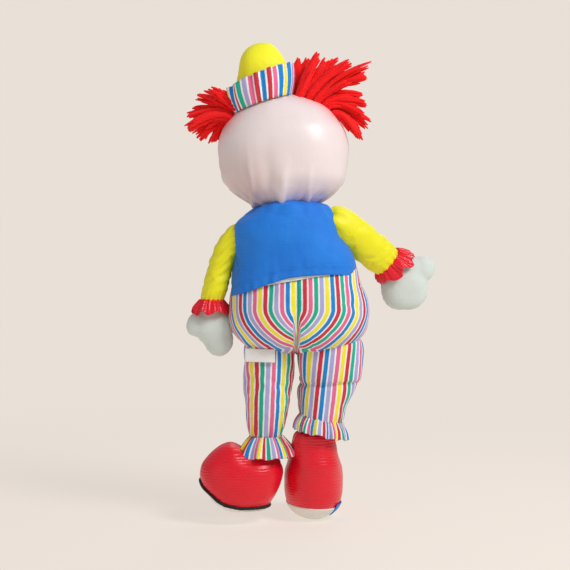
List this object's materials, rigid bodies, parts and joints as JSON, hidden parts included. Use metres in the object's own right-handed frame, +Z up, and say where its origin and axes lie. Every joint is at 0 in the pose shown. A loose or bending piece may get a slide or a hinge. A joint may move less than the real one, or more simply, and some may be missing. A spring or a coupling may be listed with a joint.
{
  "type": "hand puppet",
  "caption": "Stuffed cloth clown hand puppet with a hand pocket in the back, yarn hair, a small hat, striped trousers and satin shoes.",
  "frame": {"origin": "middle of the hand pocket's mouth, at the hem of the vest's back", "axes": "+Z up to the head, +Y out of the puppet's back, -Y the way it faces, +X to its left"},
  "size_m": [0.2869, 0.1312, 0.5447],
  "materials": {
    "vest_blue": "matte",
    "sleeve_yellow": "matte",
    "satin_red": "satin",
    "felt_red": "matte",
    "felt_black": "matte",
    "felt_pink": "matte",
    "yarn_red": "matte",
    "skin_satin": "satin",
    "hand_cotton": "matte",
    "striped_cotton": "matte",
    "stuffing": "matte",
    "white_tape": "matte",
    "sole_cloth": "matte",
    "trim_black": "matte",
    "trim_blue": "matte"
  },
  "bodies": {
    "torso": {"vest_back": "vest_blue", "vest_front_left": "vest_blue", "vest_front_right": "vest_blue", "shirt_front": "sleeve_yellow", "shirt_buttons": "felt_red", "hem_elastic": "white_tape", "chest_fill": "stuffing", "pocket_lining": "vest_blue"},
    "neck": {"finger_tube": "white_tape"},
    "head": {"head_front": "skin_satin", "head_back": "skin_satin", "head_fill": "stuffing", "eyes": "felt_black", "cheeks": "felt_pink", "nose": "felt_red", "mouth": "felt_red", "hair_left": "yarn_red", "hair_right": "yarn_red", "hat_crown": "sleeve_yellow", "hat_fill": "stuffing", "hat_brim": "striped_cotton"},
    "left_shoulder": {"left_shoulder_fill": "stuffing"},
    "left_arm": {"left_sleeve": "sleeve_yellow", "left_arm_fill": "stuffing", "left_cuff": "satin_red"},
    "left_hand": {"left_hand": "hand_cotton", "left_hand_fill": "stuffing"},
    "right_shoulder": {"right_shoulder_fill": "stuffing"},
    "right_arm": {"right_sleeve": "sleeve_yellow", "right_arm_fill": "stuffing", "right_cuff": "satin_red"},
    "right_hand": {"right_hand": "hand_cotton", "right_hand_fill": "stuffing"},
    "seat": {"seat_left": "striped_cotton", "seat_right": "striped_cotton", "seat_fill": "stuffing"},
    "care_label": {"care_label": "white_tape"},
    "left_leg": {"left_trouser": "striped_cotton", "left_leg_fill": "stuffing", "left_frill": "striped_cotton"},
    "left_foot": {"left_shoe": "satin_red", "left_shoe_fill": "stuffing", "left_sole": "sole_cloth", "left_shoe_trim": "trim_black"},
    "right_leg": {"right_trouser": "striped_cotton", "right_leg_fill": "stuffing", "right_frill": "striped_cotton"},
    "right_foot": {"right_shoe": "satin_red", "right_shoe_fill": "stuffing", "right_sole": "sole_cloth", "right_shoe_trim": "trim_blue"}
  },
  "joints": [
    {"name": "neck_turn", "type": "hinge", "parent": "torso", "child": "neck", "pos_m": [0.005, -0.028, 0.094], "axis": [0, 0, 1], "range_deg": [-50, 50]},
    {"name": "neck_nod", "type": "hinge", "parent": "neck", "child": "head", "pos_m": [0.005, -0.028, 0.094], "axis": [1, 0, 0], "range_deg": [-12, 15]},
    {"name": "left_arm_swing", "type": "hinge", "parent": "torso", "child": "left_shoulder", "pos_m": [0.062, -0.028, 0.05198], "axis": [-1, 0, 0], "range_deg": [-10, 80]},
    {"name": "left_arm_raise", "type": "hinge", "parent": "left_shoulder", "child": "left_arm", "pos_m": [0.062, -0.028, 0.05198], "axis": [0, -1, 0], "range_deg": [0, 105]},
    {"name": "left_wrist", "type": "hinge", "parent": "left_arm", "child": "left_hand", "pos_m": [0.094, -0.028, -0.02002], "axis": [0, -1, 0], "range_deg": [-8, 5]},
    {"name": "right_arm_swing", "type": "hinge", "parent": "torso", "child": "right_shoulder", "pos_m": [-0.059, -0.028, 0.06394], "axis": [-1, 0, 0], "range_deg": [0, 50]},
    {"name": "right_arm_raise", "type": "hinge", "parent": "right_shoulder", "child": "right_arm", "pos_m": [-0.059, -0.028, 0.06394], "axis": [0, 1, 0], "range_deg": [0, 75]},
    {"name": "right_wrist", "type": "hinge", "parent": "right_arm", "child": "right_hand", "pos_m": [-0.11416, -0.05729, 0.02812], "axis": [-0.3411, 0.9135, -0.2215], "range_deg": [-5, 16]},
    {"name": "waist_bend", "type": "hinge", "parent": "torso", "child": "seat", "pos_m": [0, -0.074, 0], "axis": [-0.9863, 0, 0.165], "range_deg": [0, 20], "stiffness_Nm_per_rad": 0.25, "springref_deg": -22.92},
    {"name": "care_label_flip", "type": "hinge", "parent": "seat", "child": "care_label", "pos_m": [0.037, 0.005, -0.07624], "axis": [1, 0, 0], "range_deg": [0, 55]},
    {"name": "left_hip", "type": "hinge", "parent": "seat", "child": "left_leg", "pos_m": [0.027, -0.028, -0.07224], "axis": [-1, 0, 0], "range_deg": [-10, 45]},
    {"name": "right_hip", "type": "hinge", "parent": "seat", "child": "right_leg", "pos_m": [-0.044, -0.028, -0.07056], "axis": [-1, 0, 0], "range_deg": [-10, 35]},
    {"name": "left_ankle", "type": "hinge", "parent": "left_leg", "child": "left_foot", "pos_m": [0.03, -0.028, -0.18424], "axis": [0, 1, 0], "range_deg": [-8, 8]},
    {"name": "right_ankle", "type": "hinge", "parent": "right_leg", "child": "right_foot", "pos_m": [-0.03229, -0.028, -0.18195], "axis": [1, 0, 0], "range_deg": [-8, 8]}
  ]
}
